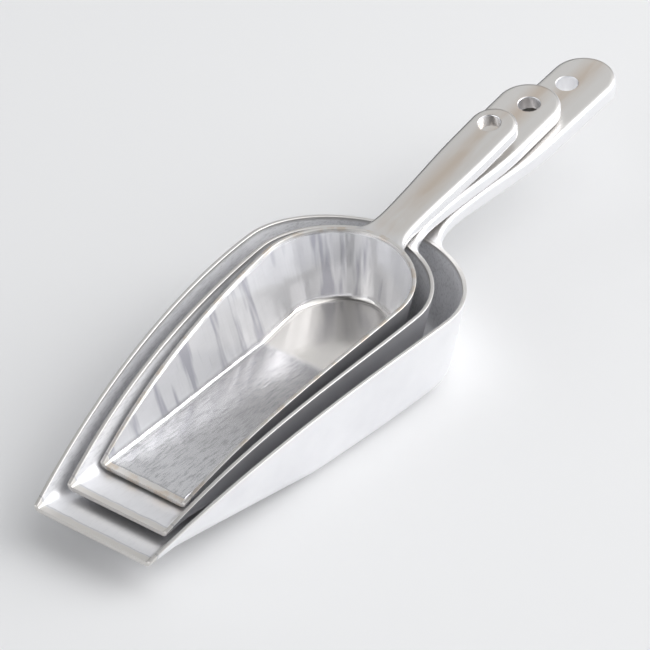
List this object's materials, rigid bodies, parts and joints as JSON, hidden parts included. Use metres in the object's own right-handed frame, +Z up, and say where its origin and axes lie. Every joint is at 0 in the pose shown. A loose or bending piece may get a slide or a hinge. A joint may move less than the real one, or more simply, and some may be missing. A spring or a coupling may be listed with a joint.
{
  "type": "feed scoop set",
  "caption": "Nested set of cast aluminium scoops, each a tapering round-heeled bowl with a straight lip and a flat drilled handle cast on its back rim.",
  "frame": {"origin": "middle of the large scoop's flat base, under the centre of its rounded heel, on the surface that the set stands on", "axes": "+Z up, +Y along the handles away from the lips, +X to the right seen from the lips towards the handles"},
  "size_m": [0.0964, 0.328, 0.0607],
  "materials": {
    "large_casting": "polished",
    "medium_casting": "polished",
    "small_casting": "polished"
  },
  "bodies": {
    "large": {"large_scoop": "large_casting"},
    "medium": {"medium_scoop": "medium_casting"},
    "small": {"small_scoop": "small_casting"}
  },
  "joints": [
    {"name": "medium_lift", "type": "slide", "parent": "large", "child": "medium", "axis": [0, 0, 1], "range_m": [0, 0.06]},
    {"name": "small_lift", "type": "slide", "parent": "medium", "child": "small", "axis": [0, 0, 1], "range_m": [0, 0.06]}
  ]
}
